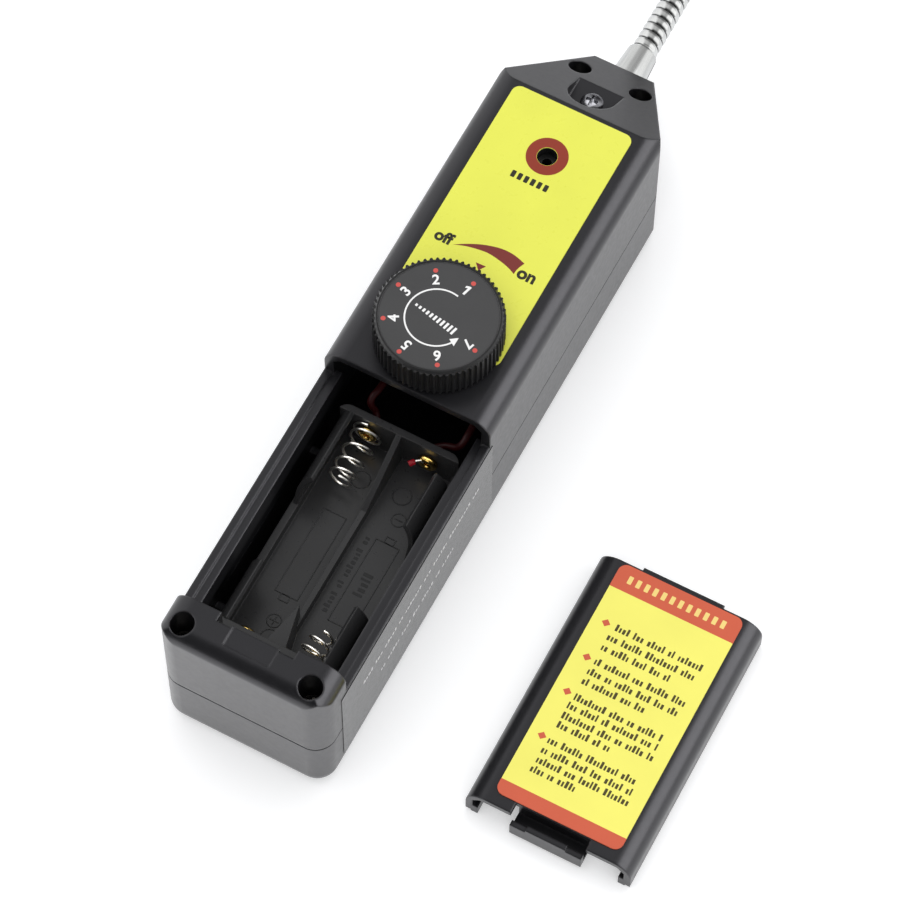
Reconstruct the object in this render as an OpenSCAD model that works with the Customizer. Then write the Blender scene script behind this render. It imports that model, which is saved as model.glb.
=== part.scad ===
// Handheld refrigerant leak detector with a gooseneck probe and its battery cover taken off.
// Millimetres. +Z is up and +Y runs along the case towards the probe; the origin is the centre of the base.

/* [Case] */
// Length of the case
case_l = 163.3; // [150:0.1:180]
// Width of the case
case_w = 37.2; // [34:0.1:42]
// Height of the case
case_h = 40.8; // [38:0.1:46]
// Height of the line where the two shells meet
parting_z = 18.4; // [16:0.1:22]
// Wall thickness of both shells
wall = 2; // [1.6:0.1:2.4]
// Radius of the long top edges
shoulder_r = 4.5; // [3.5:0.1:6]
// Radius of the bottom edges
base_r = 4.5; // [3.5:0.1:6]
// Radius of the top edge at the battery end
end_r = 3.4; // [2.5:0.1:4.5]
// Radius of the two upright corners at the battery end
corner_r = 4.5; // [4.5:0.1:5]
// Height of the shadow groove between the shells
seam_h = 0.3; // [0.2:0.05:0.5]
// Depth of the shadow groove
seam_d = 0.4; // [0.2:0.05:0.8]

/* [Nose] */
// Length of the tapered nose
nose_l = 21.5; // [18:0.1:26]
// Length of the sloping top of the nose
slope_l = 22.5; // [19:0.1:25]
// Width of the flat tip
tip_w = 13.8; // [12:0.1:17]
// Height of the tip where the slope ends
tip_h = 22.8; // [22:0.1:26]
// Height of the probe axis
neck_z = 16; // [13:0.1:17]

/* [Battery opening] */
// Distance from the battery end to the near edge of the opening
block_l = 9.2; // [8.8:0.1:11]
// Length of the opening
opening_l = 59; // [58:0.1:61]
// Depth of the opening's side ledges below the top
ledge_drop = 8.2; // [7:0.1:9.5]
// Width of the ledge rim
rim_w = 1.6; // [1.2:0.1:1.8]
// Width of the rail inside the rim
rail_w = 1.8; // [1.4:0.1:2.4]
// Depth of the rail's top below the rim
rail_drop = 0.7; // [0.4:0.1:1.2]
// Width of the latch notch in the battery end
notch_w = 16.9; // [14:0.1:18]
// Depth of the latch notch
notch_d = 1.5; // [1:0.1:1.8]
// Width of the finger plate behind the latch notch
plate_w = 10; // [8:0.1:11]

/* [Battery cover] */
// Wall thickness of the cover
cover_wall = 1.5; // [1.4:0.1:2.2]
// Gap between the cover and the edges of its opening
cover_gap = 0.2; // [0.1:0.05:0.4]
// How much narrower than the case the cover is on each side
cover_inset = 0.45; // [0:0.05:0.8]
// How far the cover's rail feet reach below its edges
foot_drop = 0.6; // [0.3:0.1:1]
// Sideways place of the loose cover beside the case
cover_x = 62.15; // [55:0.05:80]
// Lengthwise place of the loose cover
cover_y = -42; // [-60:0.1:-20]
// Turn of the loose cover
cover_turn = 0.4; // [-10:0.1:10]

/* [Knob] */
// Distance from the opening's far edge to the knob axis
knob_set = 13.35; // [12:0.05:17]
// Outer diameter of the knob
knob_d = 26.4; // [24:0.1:28]
// Height of the knob
knob_h = 7.9; // [7:0.1:11]
// Gap between the knob and the face label
knob_gap = 0.45; // [0.3:0.05:0.8]
// Number of ribs round the knob
knob_ribs = 64; // [40:1:80]
// Depth of the ribs
rib_d = 0.45; // [0.3:0.05:0.7]
// Diameter of the potentiometer shaft
shaft_d = 6; // [5:0.1:6.4]

/* [Cells] */
// Diameter of one cell
cell_d = 10.5; // [10:0.1:10.8]
// Room for the spring and the stud beyond the cell
cell_spare = 6.35; // [5:0.05:7]
// Distance between the two cell axes
cell_pitch = 13.6; // [13:0.1:14.2]
// Height of the tray's underside
tray_z = 16.5; // [15:0.1:17.5]
// Wall thickness of the tray
tray_wall = 1.5; // [1.2:0.1:1.8]
// Sideways place of the tray in the case
tray_x = 0.4; // [-0.8:0.1:0.8]
// Gap between the opening's far edge and the tray
tray_setback = 2.7; // [2:0.1:3.2]
// Gap between the opening's near edge and the tray
tray_room = 2.45; // [2:0.05:3]

/* [Probe] */
// Length of the gooseneck outside the case
neck_l = 236; // [150:1:300]
// Outer diameter of the gooseneck
neck_d = 5.7; // [5:0.1:6.2]
// Pitch of the gooseneck's winding
neck_pitch = 2; // [1.6:0.1:3]
// How far the collar stands out of the tip
collar_l = 8.7; // [7:0.1:14]
// Outer diameter of the collar at the tip
collar_d = 7.4; // [7:0.1:8.2]
// Diameter of the sensor guard
guard_d = 8.4; // [7.6:0.1:10]
// Length of the sensor guard
guard_l = 18; // [14:0.1:24]

/* [Labels] */
// Width of the face label
label_w = 27; // [24:0.1:27.6]
// Thickness of the labels
label_t = 0.25; // [0.15:0.05:0.4]
// Distance from the face label's far edge to the sounder hole
buzzer_set = 12.15; // [9:0.05:16]
// Diameter of the sounder hole
buzzer_hole_d = 4.2; // [3:0.1:5]
// Width of the cover label
cover_label_w = 27.4; // [24:0.1:28]
// Length of the cover label
cover_label_l = 55.6; // [45:0.1:55.6]

/* [Screws] */
// Diameter of the screw shanks
screw_d = 2.8; // [2.4:0.1:3]
// Diameter of the case screw heads
head_d = 4.4; // [4:0.1:4.6]
// Height of the screw heads
head_h = 1.6; // [1.2:0.1:2]
// Depth of the near screw wells, to the head's seat
near_well_depth = 9.4; // [7:0.1:11]

/* [Hidden] */

$fn = 64;
eps = 0.01;
over = 1;                          // how far a cut runs past a face
far = 400;
slack = 0.1;                       // radial clearance of fixed pieces in their holes
running = 0.05;                    // radial clearance of the turning shaft

half_l = case_l / 2;
half_w = case_w / 2;
nose_y = half_l - nose_l;          // where the sides start to taper
slope_y = half_l - slope_l;        // where the top starts to slope
tip_in_y = half_l - wall;          // inner face of the tip wall
top_in_z = case_h - wall;          // inner face of the top
bevel = 1.6;                       // flat bevel inside the long edges

near_y = -half_l + block_l;        // near edge of the opening
far_y = near_y + opening_l;        // far edge of the opening
ledge_z = case_h - ledge_drop;
rail_z = ledge_z - rail_drop;
rail_h = 5.4;
bulkhead_t = notch_d + 1.5;
notch_depth = 14;
tooth_w = 3.3;
tooth_d = 0.6;
tooth_h = 1.3;
plate_l = 4.3;
plate_d = 0.35;

well_wall = 1.1;
well_r = head_d / 2 + 0.25;
near_well_x = half_w - well_r - well_wall - 1;
near_well_y = -half_l + well_r + well_wall + 0.1;
near_seat_z = case_h - near_well_depth;
far_well_x = 7;
far_well_y = half_l - 7;
far_seat_z = parting_z + 1.2;
boss_r = screw_d / 2 + 1.5;
screw_hole_r = screw_d / 2 + 0.2;
pilot_r = screw_d / 2 + 0.05;
screw_end_z = 6;
// Screw columns: x, y and the height of the head's seat
columns = [
    [near_well_x, near_well_y, near_seat_z], [-near_well_x, near_well_y, near_seat_z],
    [far_well_x, far_well_y, far_seat_z], [-far_well_x, far_well_y, far_seat_z]
];

clamp_set = 15.5;                  // from the case's far end to the clamp screw
clamp_y = half_l - clamp_set;
clamp_seat_z = case_h - 9.3;
clamp_r = 5.1;                     // radius of the recess round the clamp screw
clamp_head_d = 4.8;
clamp_head_h = 1.9;

knob_y = far_y + knob_set;
label_z = case_h;
label_y0 = knob_y - 1;             // near edge of the face label, under the knob
label_y1 = slope_y - 1;
buzzer_y = label_y1 - buzzer_set;
label_corner_r = 1.8;
film_t = 0.12;
film_y0 = near_y - 2;
film_y1 = far_y + 1;
film_z0 = base_r + 1;
film_z1 = ledge_z - 1;

knob_z = case_h + label_t + knob_gap;
knob_r = knob_d / 2;
knob_top_z = knob_z + knob_h;
knob_skirt_h = knob_h - 0.5;
knob_face_r = knob_r - 0.8;
knob_lip_w = 0.35;                 // raised lip round the dial face
knob_lip_h = 0.25;
knob_wall = 1.7;
knob_top_t = 1.8;
hub_r = shaft_d / 2 + 2;
shaft_flat = 0.8;
shaft_top_z = knob_top_z - knob_top_t - 0.3;

board_hang = 11.4;                 // from the inside of the top down to the board
board_z = top_in_z - board_hang;
board_t = 1.6;
board_top_z = board_z + board_t;
shaft_end_z = board_top_z + 2;
board_w = case_w - 2 * wall - 4;
board_y0 = far_y + 6;
board_y1 = slope_y - 2.5;
post_r = 2.2;
post_x = board_w / 2 - post_r - 0.6;
post_inset = 3.4;                  // from the board's ends to its screws
post_y0 = board_y0 + post_inset;
post_y1 = board_y1 - post_inset;
board_screw_r = 0.9;
board_screw_l = 5;                 // reach into a post
pilot_end_z = board_top_z + board_screw_l + over;
board_head_r = 1.7;
board_head_h = 1.1;
pot_r = 7.2;
pot_h = 7.6;
tab_w = 6;                         // solder tab of the potentiometer
tab_l = 1.5;
tab_h = 3;
bush_r = shaft_d / 2 + 1.2;
bush_hole_r = bush_r + 0.2;
buzzer_r = 6;
buzzer_z = top_in_z - 0.3;         // top of the sounder
buzzer_step = 0.8;
buzzer_step_h = 1;
buzzer_port_r = 1;
core_w = 13;                       // transformer core and bobbin
core_l = 10;
core_t = 2.6;
core_h = 8.6;
bobbin_w = 10;
bobbin_z = 0.8;
bobbin_h = 7;
chip_w = 19;
chip_l = 6.4;
chip_h = 3.4;
chip_z = 0.4;
pin_pitch = 2.54;
pin_w = 0.5;
pin_out = 0.7;
pin_h = 2;
pins = 7;
can_r = 2.5;                       // the two capacitors
can_h = 8;
can_x = post_x - 1;
// The transformer and the chip share the board's run from the potentiometer to the sounder
run_y0 = knob_y + pot_r + tab_l;
run_y1 = buzzer_y - buzzer_r;
chip_deep = chip_l + 2 * pin_out;
run_gap = (run_y1 - run_y0 - core_l - chip_deep) / 3;
core_y = run_y0 + run_gap + core_l / 2;
chip_y = run_y1 - run_gap - chip_deep / 2;
can_y = core_y;

floor_z = tray_z + tray_wall;      // where the cells lie
cell_z = floor_z + cell_d / 2 + 0.3;
cell_x = cell_pitch / 2;
tray_y1 = far_y - tray_setback;    // outer face of the tray's far wall
tray_y0 = near_y + tray_room;
bay_y1 = tray_y1 - tray_wall;
bay_y0 = tray_y0 + tray_wall;
cell_l = bay_y1 - bay_y0 - cell_spare;
claw_r = cell_d / 2 + 0.15;        // inside of a claw round its cell
claw_t = 1;
claw_arc = 52;                     // how far a claw bends in over its cell
tray_half = cell_x + claw_r + claw_t + 0.4;
tray_top_z = cell_z + 4.6;
tray_side_z = cell_z - 2.75;
tray_corner_r = 2.4;
claw_left_y = bay_y1 - 0.373 * cell_l;   // where the left far claw ends
claw_right_y = bay_y1 - 0.382 * cell_l;  // where the right far claw ends
claw_gap = 0.09 * cell_l;          // slot between the right far claw and the far wall
claw_near_y = bay_y0 + 0.316 * cell_l;   // where the two near claws end
claw_slant = 3.4;                  // how much longer a far claw is at its foot
partition_t = 1.2;
partition_l = 15;                  // sloping high part at the far end
wedge_w = 5;
wedge_l = 10;
wedge_z = tray_top_z - 2;
rib_y = [bay_y1 - 6, bay_y0 + 6];  // cross ribs that carry the tray
rib_t = 1.6;

wire_r = 0.35;
spring_left_r = 3.2;
spring_left_tip_r = 2.4;
spring_left_l = 12.6;
spring_left_turns = 5;
spring_right_r = 3.2;
spring_right_tip_r = 1.95;
spring_right_l = 7.6;
spring_right_turns = 3;
spring_steps = 14;
rivet_r = 1.2;
rivet_hole_r = 0.8;
rivet_ring_r = 1.45;
rivet_bead_r = 0.75;
rivet_tail = 0.6;
strip_t = 0.4;
strip_w = 5;
strip_end = 3;                     // strip beyond each cell axis
lead_r = 0.75;

neck_r = neck_d / 2;
collar_r = collar_d / 2;
collar_tip_r = collar_r - 0.4;
collar_bore_r = neck_r + slack;
collar_flange_r = collar_r + 0.9;
collar_flange_t = 1.6;
collar_in_l = 5.6;                 // length of the collar inside the case
slit_w = 0.6;
neck_y0 = tip_in_y - collar_in_l;
neck_y1 = half_l + neck_l;
neck_bore_r = neck_r - 1.2;
groove_d = 0.5;
ribbed_y0 = half_l + collar_l + 0.4;
ferrule_l = 14;
ferrule_in = 9;                    // length of gooseneck inside the ferrule
ferrule_r = neck_r + 0.85;
ferrule_y0 = neck_y1 - ferrule_in;
ferrule_y1 = ferrule_y0 + ferrule_l;
guard_r = guard_d / 2;
guard_t = 0.7;
guard_y0 = ferrule_y1 - 4.5;
guard_y1 = guard_y0 + guard_l;
guard_slots = 6;
slot_w = 1.6;
base_y1 = ferrule_y1 + 2.5;

cover_l = opening_l - 2 * cover_gap;
cover_half = half_w - cover_inset;
cover_h = ledge_drop;
cover_top_in = cover_h - cover_wall;
cover_window_w = notch_w - 0.4;
cover_window_l = 2.4;
latch_w = notch_w - 1.2;
latch_t = 1.2;
latch_l = 5.4;                     // from the latch's bar to the wall it springs from
latch_z0 = 1;
latch_z1 = 5;
latch_out = notch_d - cover_gap - 0.1;
hook_w = plate_w - 1.2;
hook_h = 0.8;
tongue_w = 18;
tongue_t = 1.2;
tongue_l = 1.3;
tongue_root = 3;
foot_l = 3.2;
foot_w = 1.5;
foot_h = 2.4;
cover_label_x = 0.55;
cover_label_gap = 0.45;            // from the label to the cover's far edge

black = [0.06, 0.06, 0.065];
dark = [0.1, 0.1, 0.105];
steel = [0.75, 0.76, 0.77];
brass = [0.78, 0.62, 0.3];
red = [0.7, 0.07, 0.08];
yellow = [0.9, 0.92, 0.36];

module rounded_plate(size, r) {
    difference() {
        translate(-size / 2) square(size);
        for (sx = [-1, 1], sy = [-1, 1])
            translate([sx * size.x / 2, sy * size.y / 2]) corner_trim(r, sx, sy);
    }
}

// What is taken off a square corner to leave radius r; sx and sy point out of the outline.
module corner_trim(r, sx, sy) {
    difference() {
        translate([-sx * r / 2, -sy * r / 2]) square(r + 2 * eps, center = true);
        translate([-sx * r, -sy * r]) circle(r);
    }
}

// Cross-section of the case in X and Z.
module case_section() {
    difference() {
        translate([-half_w, 0]) square([case_w, case_h]);
        for (s = [-1, 1]) {
            translate([s * half_w, case_h]) corner_trim(shoulder_r, s, 1);
            translate([s * half_w, 0]) corner_trim(base_r, s, -1);
        }
    }
}

// Plan outline, moved inwards by inset: a rectangle with round near corners and a tapered nose.
module case_plan(inset = 0) {
    rise = half_w - tip_w / 2;
    lean = norm([nose_l, rise]);
    w = half_w - inset;
    y0 = -half_l + inset;
    y1 = half_l - inset;
    side_y = nose_y - inset * (lean - nose_l) / rise;
    tip_x = tip_w / 2 - inset * (lean - rise) / nose_l;
    difference() {
        polygon([[-w, y0], [w, y0], [w, side_y], [tip_x, y1], [-tip_x, y1], [-w, side_y]]);
        for (s = [-1, 1]) translate([s * w, y0]) corner_trim(corner_r - inset, s, -1);
    }
}

// Side profile in Y and Z: round battery end, sloping nose.
module case_profile() {
    difference() {
        polygon([[-half_l, 0], [half_l, 0], [half_l, tip_h], [slope_y, case_h], [-half_l, case_h]]);
        translate([-half_l, case_h]) corner_trim(end_r, -1, 1);
        translate([-half_l, 0]) corner_trim(base_r, -1, -1);
        translate([half_l, 0]) corner_trim(base_r, 1, -1);
    }
}

// Solid of the whole case.
module case_solid() {
    difference() {
        intersection() {
            rotate([90, 0, 0]) linear_extrude(case_l + 2 * over, center = true) case_section();
            linear_extrude(case_h + over) case_plan();
            rotate([90, 0, 90]) linear_extrude(case_w + 2 * over, center = true) case_profile();
        }
        for (s = [-1, 1]) base_corner_cut(s);
    }
}

// What is outside the round lower corner at the battery end; s is -1 on the left and 1 on the right.
module base_corner_cut(s) {
    translate([s * (half_w - corner_r), -half_l + corner_r, 0]) difference() {
        translate([s > 0 ? 0 : -corner_r - over, -corner_r - over, -over])
            cube([corner_r + over, corner_r + over, base_r + over]);
        rotate_extrude() difference() {
            translate([0, -2 * over]) square([corner_r, base_r + 4 * over]);
            translate([corner_r, 0]) corner_trim(base_r, 1, -1);
            translate([0, -3 * over]) square([corner_r + over, 3 * over]);
        }
    }
}

// Hollow of the case: one wall inside it, with flat bevels in the corners.
module case_hollow() {
    w = half_w - wall;
    nose_rise = half_w - tip_w / 2;
    nose_lean = norm([nose_l, nose_rise]);
    tip_x = tip_w / 2 - wall * (1 - nose_rise / nose_lean) * nose_lean / nose_l;
    side_y = nose_y - wall * nose_lean / nose_rise;
    drop = case_h - tip_h;
    slope_lean = norm([slope_l, drop]);
    tip_z = tip_h - wall * slope_lean / slope_l;
    crease_y = slope_y - wall * slope_lean / drop;
    intersection() {
        rotate([90, 0, 0]) linear_extrude(case_l, center = true)
            polygon([
                [-w, wall + bevel], [-w + bevel, wall], [w - bevel, wall], [w, wall + bevel],
                [w, top_in_z - bevel], [w - bevel, top_in_z], [-w + bevel, top_in_z], [-w, top_in_z - bevel]
            ]);
        linear_extrude(case_h)
            polygon([
                [-half_w, -half_l + wall], [half_w, -half_l + wall], [half_w, side_y],
                [tip_x, tip_in_y], [-tip_x, tip_in_y], [-half_w, side_y]
            ]);
        rotate([90, 0, 90]) linear_extrude(case_w, center = true)
            polygon([
                [-half_l, -1], [half_l, -1], [half_l, tip_z], [crease_y, case_h], [-half_l, case_h]
            ]);
    }
}

// Shadow groove round the case, in the lower shell's upper edge.
module seam_groove() {
    translate([0, 0, parting_z - seam_h]) linear_extrude(seam_h + 1) difference() {
        square([case_w + 2, case_l + 2], center = true);
        case_plan(seam_d);
    }
}

module slab(z0, z1) {
    translate([-far / 2, -far / 2, z0]) cube([far, far, z1 - z0]);
}

module along_y(y0, y1, r1, r2 = undef) {
    translate([0, y0, 0]) rotate([-90, 0, 0]) cylinder(h = y1 - y0, r1 = r1, r2 = is_undef(r2) ? r1 : r2);
}

module upright(x, y, z0, z1, r) {
    translate([x, y, z0]) cylinder(h = z1 - z0, r = r);
}

// Tube of radius r swept along a list of points; ref is never parallel to the path.
module swept_tube(path, r, ref, sides = 8) {
    n = len(path);
    rings = [for (i = [0:n - 1])
        let(
            ahead = path[min(i + 1, n - 1)] - path[max(i - 1, 0)],
            along = ahead / norm(ahead),
            u0 = cross(ref, along),
            u = u0 / norm(u0),
            v = cross(along, u)
        )
        for (k = [0:sides - 1]) path[i] + r * (cos(360 * k / sides) * u + sin(360 * k / sides) * v)];
    walls = [for (i = [0:n - 2], k = [0:sides - 1], half = [0, 1])
        let(a = i * sides + k, b = i * sides + (k + 1) % sides)
        half == 0 ? [a, a + sides, b + sides] : [a, b + sides, b]];
    first = [for (k = [0:sides - 1]) k];
    last = [for (k = [sides - 1:-1:0]) (n - 1) * sides + k];
    polyhedron(points = rings, faces = concat(walls, [first, last]), convexity = 6);
}

// Coil wound about an axis along Y, from radius r0 at y0 to radius r1 at y1.
function coil(x, z, y0, y1, r0, r1, turns, steps) = [
    for (i = [0:turns * steps])
        let(t = i / (turns * steps), a = 360 * turns * t, r = r0 + (r1 - r0) * t)
        [x + r * cos(a), y0 + (y1 - y0) * t, z + r * sin(a)]
];

module lower_shell() color(black) difference() {
    intersection() {
        case_solid();
        union() {
            difference() {
                slab(-1, parting_z);
                case_hollow();
            }
            for (c = columns) upright(c.x, c.y, wall / 2, parting_z, boss_r);
            upright(0, clamp_y, wall / 2, parting_z, boss_r);
            for (y = rib_y)
                translate([-half_w, y - rib_t / 2, wall / 2]) cube([case_w, rib_t, tray_z - wall / 2]);
        }
    }
    for (c = columns) upright(c.x, c.y, screw_end_z - 1, parting_z + 1, pilot_r);
    upright(0, clamp_y, screw_end_z - 1, parting_z + 1, pilot_r);
    translate([0, 0, neck_z]) along_y(tip_in_y - 1, half_l + 1, collar_r + slack);
    seam_groove();
}

// Recess with a level floor and a round back, open towards the probe.
module clamp_recess() {
    upright(0, clamp_y, clamp_seat_z, case_h + 1, clamp_r);
    translate([-clamp_r, clamp_y, clamp_seat_z]) cube([2 * clamp_r, nose_l, case_h]);
}

module upper_solids() {
    difference() {
        slab(parting_z, case_h + 1);
        case_hollow();
    }
    for (c = columns) {
        upright(c.x, c.y, parting_z, c.z, boss_r);
        upright(c.x, c.y, c.z - 1.2, case_h, well_r + well_wall);
    }
    upright(0, clamp_y, parting_z, clamp_seat_z, boss_r);
    upright(0, clamp_y, clamp_seat_z - wall, case_h, clamp_r + well_wall);
    translate([-half_w, near_y - bulkhead_t, parting_z]) cube([case_w, bulkhead_t, case_h]);
    for (s = [-1, 1])
        translate([s > 0 ? half_w - rim_w - rail_w : -half_w, near_y - 1, rail_z - rail_h])
            cube([rim_w + rail_w, opening_l + 2, rail_h]);
    for (s = [-1, 1], y = [post_y0, post_y1])
        upright(s * post_x, y, board_top_z, case_h, post_r);
}

module upper_cuts() {
    translate([-half_w - 1, near_y, ledge_z]) cube([case_w + 2, opening_l, case_h]);
    translate([-half_w + rim_w, near_y, rail_z]) cube([case_w - 2 * rim_w, opening_l, case_h]);
    translate([-notch_w / 2, near_y - notch_d, case_h - notch_depth])
        cube([notch_w, opening_l / 2, case_h]);
    for (s = [-1, 1])
        translate([s * (notch_w - tooth_w) / 2 - tooth_w / 2, near_y - notch_d - tooth_d, case_h - tooth_h])
            cube([tooth_w, notch_d + tooth_d, case_h]);
    translate([-plate_w / 2, near_y - notch_d - plate_l, case_h - plate_d])
        cube([plate_w, plate_l + 1, case_h]);
    for (c = columns) {
        upright(c.x, c.y, parting_z - 1, case_h, screw_hole_r);
        upright(c.x, c.y, c.z, case_h + 1, well_r);
    }
    upright(0, clamp_y, parting_z - 1, case_h, screw_hole_r);
    clamp_recess();
    upright(0, knob_y, top_in_z - 1, case_h + 1, bush_hole_r);
    upright(0, buzzer_y, top_in_z - 1, case_h + 1, buzzer_hole_d / 2);
    for (s = [-1, 1], y = [post_y0, post_y1])
        upright(s * post_x, y, board_top_z - over, pilot_end_z, board_screw_r + running);
    translate([0, 0, neck_z]) along_y(tip_in_y - 1, half_l + 1, collar_r + slack);
}

module upper_shell() color(black) difference() {
    intersection() {
        case_solid();
        union() upper_solids();
    }
    upper_cuts();
}

// The cover in its own frame: near edge at y = 0, lower edges at z = 0.
module cover_section() {
    w = cover_half - cover_wall;
    difference() {
        translate([-cover_half, 0]) square([2 * cover_half, cover_h]);
        for (s = [-1, 1]) translate([s * cover_half, cover_h]) corner_trim(shoulder_r, s, 1);
        polygon([
            [-w, -over], [w, -over], [w, cover_top_in - bevel], [w - bevel, cover_top_in],
            [-w + bevel, cover_top_in], [-w, cover_top_in - bevel]
        ]);
    }
}

module cover_body() {
    difference() {
        union() {
            translate([0, cover_l, 0]) rotate([90, 0, 0]) linear_extrude(cover_l) cover_section();
            for (s = [-1, 1], y = [0, cover_l - foot_l])
                translate([s > 0 ? half_w - rim_w - foot_w : -half_w + rim_w, y, -foot_drop])
                    cube([foot_w, foot_l, foot_drop + foot_h]);
            translate([-tongue_w / 2, cover_l - tongue_root, cover_top_in - tongue_t])
                cube([tongue_w, tongue_root + tongue_l, tongue_t + eps]);
        }
        translate([-cover_window_w / 2, -over, -over])
            cube([cover_window_w, cover_window_l + over, cover_h + 2 * over]);
    }
    latch();
}

// Sprung latch: a wall down from under the top, a floor, a front bar and a raised hook on it.
module latch() {
    translate([-latch_w / 2, latch_l - latch_out - latch_t, latch_z0])
        cube([latch_w, latch_t, cover_top_in - latch_z0 + eps]);
    translate([-latch_w / 2, -latch_out, latch_z0]) cube([latch_w, latch_l, latch_t]);
    translate([-latch_w / 2, -latch_out, latch_z0]) cube([latch_w, latch_t, latch_z1 - latch_z0]);
    translate([-hook_w / 2, -latch_out, latch_z1 - eps]) cube([hook_w, latch_t, hook_h]);
}

module place_cover() {
    translate([cover_x, cover_y, foot_drop]) rotate([0, 0, cover_turn]) translate([0, -cover_l / 2, 0])
        children();
}

module battery_cover() color(black) place_cover() cover_body();

module cover_label() color(yellow) place_cover()
    translate([cover_label_x, cover_l - cover_label_gap - cover_label_l / 2, cover_h])
        linear_extrude(label_t) rounded_plate([cover_label_w, cover_label_l], label_corner_r);

module face_label() color(yellow) difference() {
    translate([0, (label_y0 + label_y1) / 2, label_z])
        linear_extrude(label_t) rounded_plate([label_w, label_y1 - label_y0], label_corner_r);
    upright(0, knob_y, label_z - 1, label_z + 1, bush_hole_r);
    upright(0, buzzer_y, label_z - 1, label_z + 1, buzzer_hole_d / 2);
}

module side_label() color([0.25, 0.25, 0.26])
    translate([half_w, film_y0, film_z0]) cube([film_t, film_y1 - film_y0, film_z1 - film_z0]);

// Ribbed outline of the knob skirt.
function rib_outline() = [
    for (i = [0:knob_ribs - 1], k = [0:3])
        let(a = 360 / knob_ribs * (i + [0.1, 0.32, 0.58, 0.9][k]), r = k < 2 ? knob_r : knob_r - rib_d)
        r * [cos(a), sin(a)]
];

module sensitivity_knob() color(dark) translate([0, knob_y, 0]) difference() {
    union() {
        difference() {
            union() {
                translate([0, 0, knob_z]) linear_extrude(knob_skirt_h) polygon(rib_outline());
                translate([0, 0, knob_z + knob_skirt_h])
                    cylinder(h = knob_h - knob_skirt_h, r1 = knob_r - rib_d, r2 = knob_face_r);
            }
            upright(0, 0, knob_z - over, knob_top_z - knob_top_t, knob_r - rib_d - knob_wall);
            upright(0, 0, knob_top_z - knob_lip_h, knob_top_z + over, knob_face_r - knob_lip_w);
        }
        upright(0, 0, knob_z, knob_top_z - knob_top_t + eps, hub_r);
    }
    difference() {
        upright(0, 0, knob_z - over, shaft_top_z, shaft_d / 2 + running);
        shaft_flat_cut(running);
    }
}

// What the flat takes off the shaft; the knob's bore stands clear of it by gap.
module shaft_flat_cut(gap = 0) {
    translate([shaft_d / 2 - shaft_flat + gap, -shaft_d, knob_z + over + gap])
        cube([shaft_d, 2 * shaft_d, knob_h]);
}

module potentiometer_shaft() color(steel) translate([0, knob_y, 0]) difference() {
    upright(0, 0, shaft_end_z, shaft_top_z, shaft_d / 2);
    shaft_flat_cut();
}

module potentiometer() color(steel) translate([0, knob_y, 0]) difference() {
    union() {
        upright(0, 0, board_top_z, board_top_z + pot_h, pot_r);
        upright(0, 0, board_top_z, case_h + label_t, bush_r);
        translate([-tab_w / 2, 0, board_top_z]) cube([tab_w, pot_r + tab_l, tab_h]);
    }
    upright(0, 0, shaft_end_z - 0.2, case_h + over, shaft_d / 2 + running);
}

module buzzer() color(dark) translate([0, buzzer_y, 0]) difference() {
    union() {
        upright(0, 0, board_top_z, buzzer_z - buzzer_step_h, buzzer_r);
        upright(0, 0, buzzer_z - buzzer_step_h - eps, buzzer_z, buzzer_r - buzzer_step);
    }
    upright(0, 0, board_top_z + buzzer_step_h, buzzer_z + over, buzzer_port_r);
}

module circuit_board() color([0.12, 0.3, 0.16]) difference() {
    translate([-board_w / 2, board_y0, board_z]) cube([board_w, board_y1 - board_y0, board_t]);
    for (s = [-1, 1], y = [post_y0, post_y1])
        upright(s * post_x, y, board_z - over, board_top_z + over, board_screw_r + slack);
}

// High-voltage transformer: a ferrite core round a wound bobbin.
module transformer() color([0.25, 0.24, 0.22]) translate([0, core_y, board_top_z]) {
    for (y = [-core_l / 2, core_l / 2 - core_t])
        translate([-core_w / 2, y, 0]) cube([core_w, core_t, core_h]);
    translate([-bobbin_w / 2, -core_l / 2 + core_t, bobbin_z])
        cube([bobbin_w, core_l - 2 * core_t, bobbin_h]);
}

module driver_chip() color(dark) translate([0, chip_y, board_top_z]) {
    translate([-chip_w / 2, -chip_l / 2, chip_z]) cube([chip_w, chip_l, chip_h]);
    for (i = [0:pins - 1], s = [-1, 1])
        translate([(i - (pins - 1) / 2) * pin_pitch - pin_w / 2, s * (chip_l + pin_out) / 2 - pin_out / 2, 0])
            cube([pin_w, pin_out, pin_h]);
}

module capacitors() color([0.15, 0.2, 0.45])
    for (s = [-1, 1]) upright(s * can_x, can_y, board_top_z, board_top_z + can_h, can_r);

module board_screws() color(steel)
    for (s = [-1, 1], y = [post_y0, post_y1]) {
        upright(s * post_x, y, board_z - board_head_h, board_z, board_head_r);
        upright(s * post_x, y, board_z - eps, board_top_z + board_screw_l, board_screw_r);
    }

// Section of the right-hand claw about its cell's axis: an upright leg, then an arc over the cell.
module claw_section() {
    translate([claw_r, floor_z - cell_z - eps]) square([claw_t, cell_z - floor_z + 2 * eps]);
    intersection() {
        difference() {
            circle(claw_r + claw_t);
            circle(claw_r);
        }
        polygon([[0, 0], [far, 0], [far, far * tan(claw_arc)]]);
    }
}

// Claw that bends in over a cell; side is -1 on the left and 1 on the right. Its foot is longer by slant.
module cell_claw(side, y0, y1, slant = 0) {
    intersection() {
        translate([side * cell_x, y1, cell_z]) mirror([side > 0 ? 0 : 1, 0, 0])
            rotate([90, 0, 0]) linear_extrude(y1 - y0 + slant) claw_section();
        translate([-far / 2, 0, 0]) rotate([90, 0, 90]) linear_extrude(far)
            polygon([
                [y0 - slant, tray_z], [y1 + over, tray_z], [y1 + over, tray_top_z + over],
                [y0, tray_top_z + over], [y0, tray_top_z], [y0 - slant, tray_side_z]
            ]);
    }
}

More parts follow.
